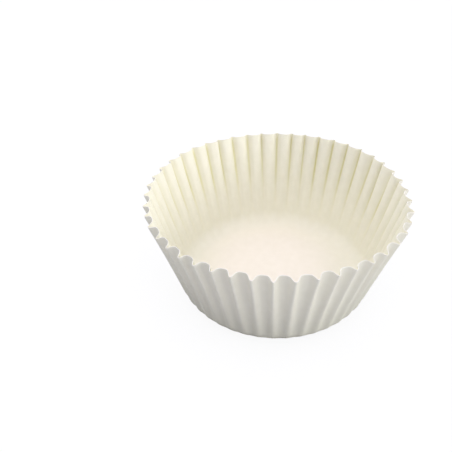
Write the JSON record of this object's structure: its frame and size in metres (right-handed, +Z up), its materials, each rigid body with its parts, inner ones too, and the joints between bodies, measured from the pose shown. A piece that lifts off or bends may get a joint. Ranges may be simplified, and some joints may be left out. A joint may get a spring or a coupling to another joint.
{
  "type": "cupcake liner",
  "caption": "Round pleated paper baking cup with a flat floor, a rounded shoulder and a flared, fluted wall, open at the top.",
  "frame": {"origin": "centre of the floor's underside, so the cup stands on z = 0", "axes": "+Z up along the cup's axis, out of its mouth; the middle of one inner fold lies on -Y"},
  "size_m": [0.07, 0.07, 0.0292],
  "materials": {
    "greaseproof_paper": "matte white greaseproof paper"
  },
  "bodies": {
    "root": {"paper_liner": "greaseproof_paper"}
  },
  "joints": []
}
